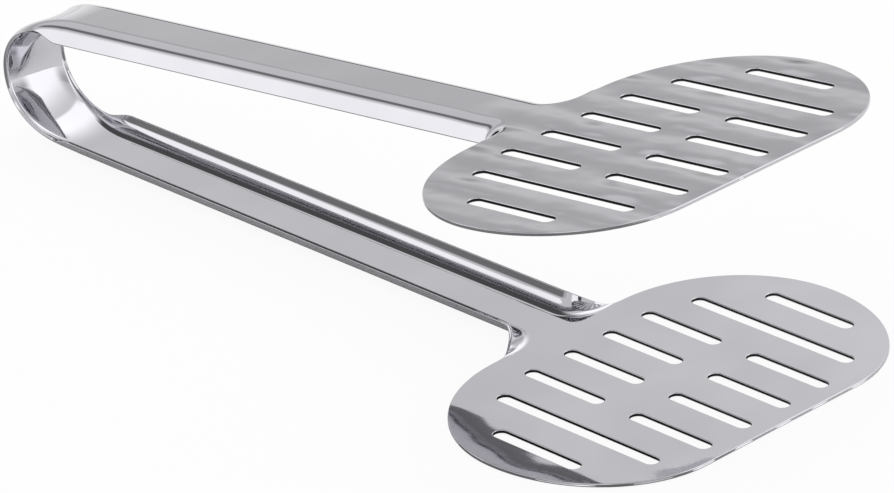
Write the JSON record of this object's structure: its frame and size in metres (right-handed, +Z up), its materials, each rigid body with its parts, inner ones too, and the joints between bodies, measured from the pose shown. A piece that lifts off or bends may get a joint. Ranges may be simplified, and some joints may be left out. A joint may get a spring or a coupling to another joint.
{
  "type": "spatula tongs",
  "caption": "Stainless steel serving tongs: a spring bow, two flanged arms and two wide slotted spatula heads that close on food.",
  "frame": {"origin": "on the table, under the middle of the tongs' outline", "axes": "+X from the spring bow to the heads, +Y across the heads, +Z up; the lower arm and head lie flat on Z = 0"},
  "size_m": [0.2878, 0.1232, 0.0695],
  "materials": {
    "head_steel": "polished",
    "arm_steel": "polished",
    "bow_steel": "polished"
  },
  "bodies": {
    "lower_half": {"lower_head": "head_steel", "lower_arm": "arm_steel", "lower_bow": "bow_steel"},
    "bow": {"middle_bow": "bow_steel"},
    "upper_half": {"upper_bow": "bow_steel", "upper_arm": "arm_steel", "upper_head": "head_steel"}
  },
  "joints": [
    {"name": "squeeze", "type": "hinge", "parent": "lower_half", "child": "bow", "pos_m": [-0.13789, 0, 0.00889], "axis": [0, 1, 0], "range_deg": [0, 6.8], "stiffness_Nm_per_rad": 16, "springref_deg": -0.86},
    {"name": "squeeze_upper", "type": "hinge", "parent": "bow", "child": "upper_half", "pos_m": [-0.139, 0, 0.02828], "axis": [0, 1, 0], "range_deg": [0, 6.8], "stiffness_Nm_per_rad": 16, "springref_deg": -0.86}
  ],
  "couplings": [
    {"joint": "squeeze_upper", "follows": "squeeze", "ratio": 1}
  ]
}
